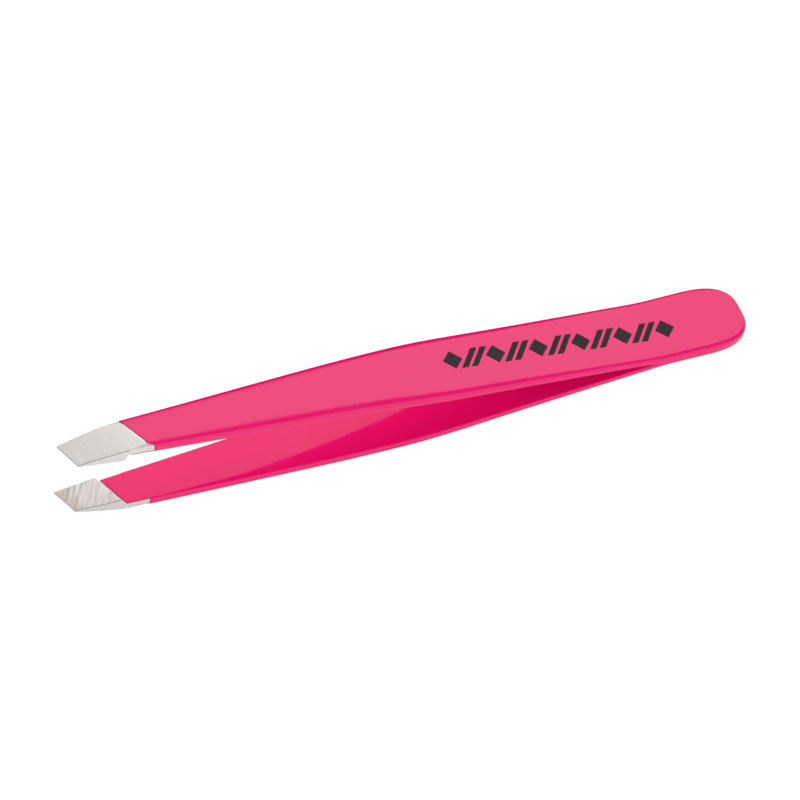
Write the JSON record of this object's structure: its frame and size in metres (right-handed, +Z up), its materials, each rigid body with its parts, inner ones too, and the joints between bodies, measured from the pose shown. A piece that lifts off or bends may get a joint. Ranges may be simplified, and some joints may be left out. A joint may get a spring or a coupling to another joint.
{
  "type": "slant tweezers",
  "caption": "Slant-tip tweezers: two sprung leaves joined at the rounded tail, enamelled all over except the ground, slanted gripping tips.",
  "frame": {"origin": "centre of the bounding box in plan, on the plane that the flat outer grip of the lower arm rests on", "axes": "+X along the tool from the tips to the tail, +Y across the width towards the long corner of the slanted tips, +Z up from the lower arm to the upper arm"},
  "size_m": [0.0952, 0.0102, 0.0129],
  "materials": {
    "enamel": "gloss",
    "ground_steel": "brushed",
    "leaf_steel": "satin",
    "weld_steel": "matte"
  },
  "bodies": {
    "tail": {"upper_tail_leaf": "leaf_steel", "lower_tail_leaf": "leaf_steel", "weld_nugget_1": "weld_steel", "weld_nugget_2": "weld_steel", "tail_coating": "enamel"},
    "upper_arm": {"upper_arm_blade": "ground_steel", "upper_arm_coating": "enamel"},
    "lower_arm": {"lower_arm_blade": "ground_steel", "lower_arm_coating": "enamel"}
  },
  "joints": [
    {"name": "upper_arm_flex", "type": "hinge", "parent": "tail", "child": "upper_arm", "pos_m": [0.02267, 0, 0.0062], "axis": [0, -1, 0], "range_deg": [0, 3.81], "stiffness_Nm_per_rad": 1.6},
    {"name": "lower_arm_flex", "type": "hinge", "parent": "tail", "child": "lower_arm", "pos_m": [0.02257, 0, 0.00283], "axis": [0, 1, 0], "range_deg": [0, 3.81], "stiffness_Nm_per_rad": 1.6}
  ],
  "couplings": [
    {"joint": "lower_arm_flex", "follows": "upper_arm_flex", "ratio": 1}
  ]
}
